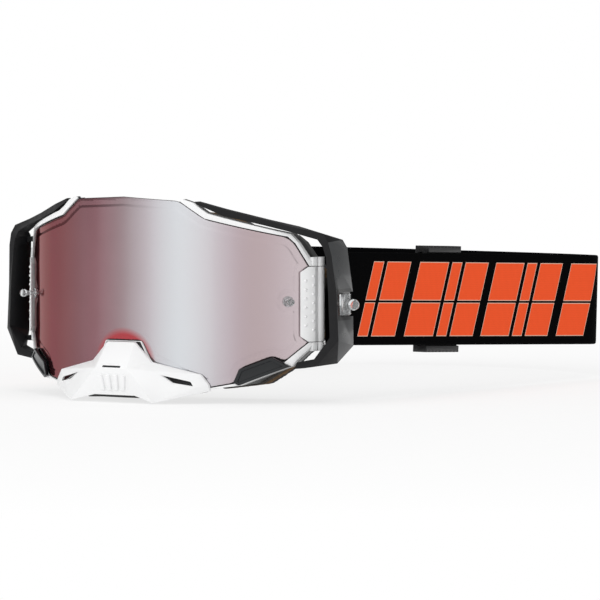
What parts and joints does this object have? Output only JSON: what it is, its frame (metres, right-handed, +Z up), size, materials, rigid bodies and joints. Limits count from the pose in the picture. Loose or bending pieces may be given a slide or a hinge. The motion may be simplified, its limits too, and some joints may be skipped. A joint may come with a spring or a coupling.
{
  "type": "motorcycle goggles",
  "caption": "Off-road goggles with a mirrored cylindrical lens, open side outriggers, release levers, removable nose guard, layered face foam and a wide elastic strap.",
  "frame": {"origin": "middle of the face seal, on the symmetry plane, 50 mm behind the front of the lens", "axes": "+Y from the lens back to the head, +Z up, +X towards the wearer's left"},
  "size_m": [0.2038, 0.3403, 0.0986],
  "materials": {
    "mirror_lens": "mirrored coating",
    "white_plastic": "moulded, satin gloss",
    "grey_plastic": "satin moulded",
    "gloss_black": "gloss",
    "black_plastic": "matte moulded",
    "clear_plastic": "clear",
    "soft_black": "soft touch",
    "foam_grey": "open cell",
    "foam_dark": "open cell",
    "foam_brown": "open cell",
    "fleece": "brushed fleece",
    "strap_fabric": "woven elastic, printed",
    "silicone": "tacky",
    "steel_pin": "ground"
  },
  "bodies": {
    "root": {"face_frame": "soft_black", "foam_base": "foam_dark", "foam_fleece": "fleece", "foam_middle": "foam_brown", "lens_clip_left": "gloss_black", "lens_clip_right": "gloss_black", "lens_frame": "white_plastic", "lens_gasket": "soft_black", "lever_pin_left": "steel_pin", "lever_pin_right": "steel_pin", "nose_insert": "black_plastic", "outrigger_left": "grey_plastic", "outrigger_post_left": "clear_plastic", "outrigger_right": "grey_plastic", "silicone_beads": "silicone", "strap_bar_left": "black_plastic", "strap_bar_right": "black_plastic", "strap_webbing": "strap_fabric", "vent_foam_bottom": "foam_grey", "vent_foam_top": "foam_grey"},
    "lens_unit": {"lens": "mirror_lens", "lens_post_left": "clear_plastic", "lens_post_right": "clear_plastic"},
    "nose_guard": {"nose_guard": "white_plastic"},
    "lever_left": {"lever_left": "white_plastic"},
    "lever_right": {"lever_right": "white_plastic"},
    "strap_slider_left": {"strap_slider_left": "black_plastic"},
    "strap_slider_right": {"strap_slider_right": "black_plastic"}
  },
  "joints": [
    {"name": "lever_left_hinge", "type": "hinge", "parent": "root", "child": "lever_left", "pos_m": [0.08465, -0.0054, -0.0013], "axis": [0, 0, 1], "range_deg": [0, 50]},
    {"name": "lever_right_hinge", "type": "hinge", "parent": "root", "child": "lever_right", "pos_m": [-0.08465, -0.0054, -0.0013], "axis": [0, 0, -1], "range_deg": [0, 50]},
    {"name": "lens_release", "type": "slide", "parent": "root", "child": "lens_unit", "axis": [0, -1, 0], "range_m": [0, 0.03]},
    {"name": "nose_guard_release", "type": "slide", "parent": "lens_unit", "child": "nose_guard", "axis": [0, -1, 0], "range_m": [0, 0.025]},
    {"name": "slider_left_travel", "type": "slide", "parent": "root", "child": "strap_slider_left", "axis": [0, 0.999, -0.0454], "range_m": [-0.03, 0.03]},
    {"name": "slider_right_travel", "type": "slide", "parent": "root", "child": "strap_slider_right", "axis": [0, 0.999, -0.0454], "range_m": [-0.03, 0.03]}
  ]
}
